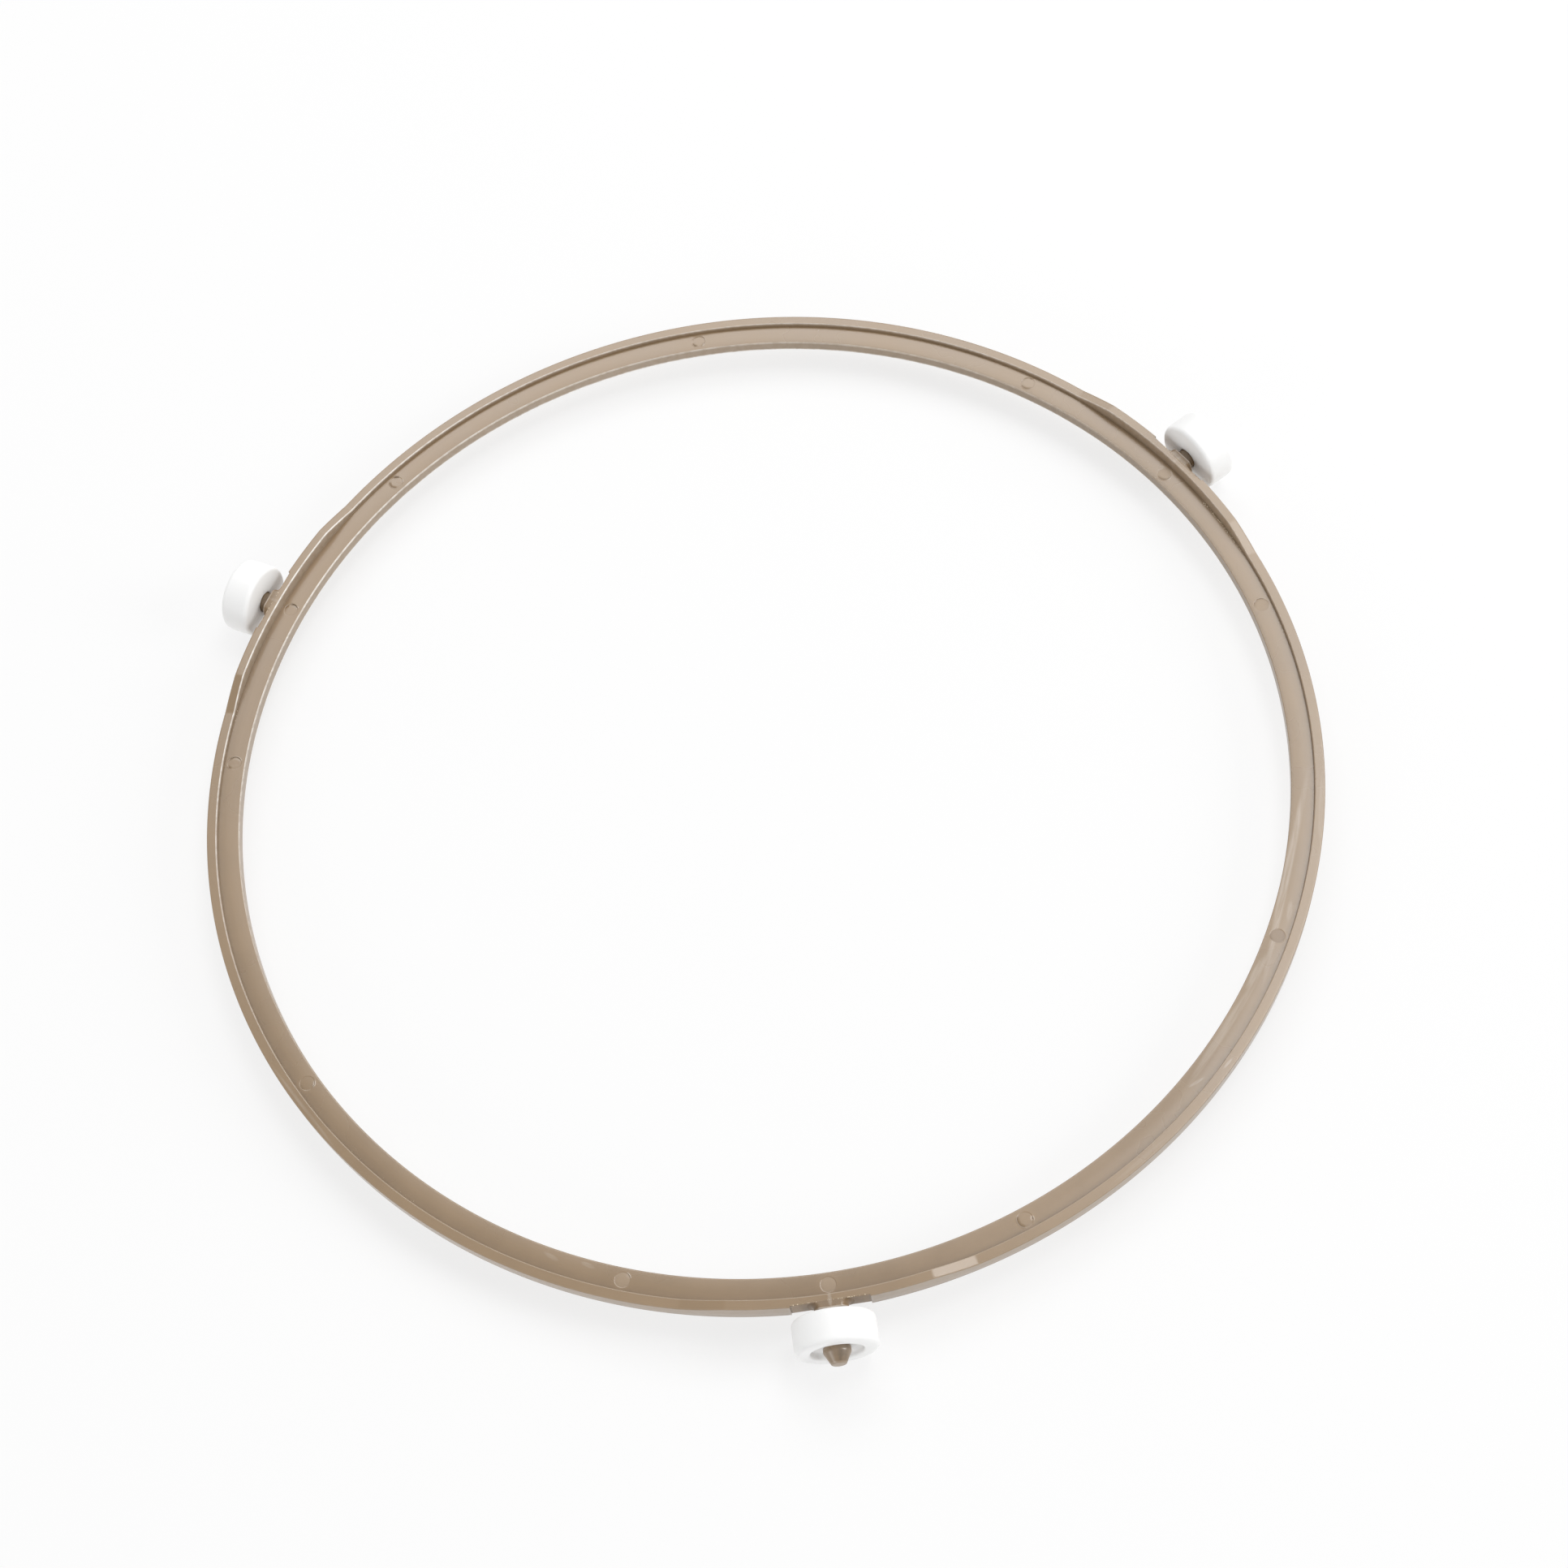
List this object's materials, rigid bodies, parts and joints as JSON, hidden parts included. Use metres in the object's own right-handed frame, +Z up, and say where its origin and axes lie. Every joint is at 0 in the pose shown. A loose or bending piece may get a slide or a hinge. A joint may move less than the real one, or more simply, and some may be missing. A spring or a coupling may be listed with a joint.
{
  "type": "microwave turntable roller ring",
  "caption": "Flat plastic ring with a raised rim, sloped seats and outward axle stubs that carry push-on rollers, so that a turntable tray can turn on it.",
  "frame": {"origin": "on the ring's axis, on the surface that the rollers run on", "axes": "+Z up along the ring's axis, towards the tray; -Y along the front roller's axle, outward"},
  "size_m": [0.204, 0.2136, 0.014],
  "materials": {
    "ring_plastic": "semi-gloss moulded",
    "roller_plastic": "satin moulded"
  },
  "bodies": {
    "ring": {"ring": "ring_plastic"},
    "roller_front": {"roller_front": "roller_plastic"},
    "roller_right": {"roller_right": "roller_plastic"},
    "roller_left": {"roller_left": "roller_plastic"}
  },
  "joints": [
    {"name": "roller_front_spin", "type": "hinge", "parent": "ring", "child": "roller_front", "pos_m": [0, -0.10675, 0.007], "axis": [0, -1, 0], "continuous": true},
    {"name": "roller_right_spin", "type": "hinge", "parent": "ring", "child": "roller_right", "pos_m": [0.09245, 0.05337, 0.007], "axis": [0.866, 0.5, 0], "continuous": true},
    {"name": "roller_left_spin", "type": "hinge", "parent": "ring", "child": "roller_left", "pos_m": [-0.09245, 0.05337, 0.007], "axis": [-0.866, 0.5, 0], "continuous": true}
  ]
}
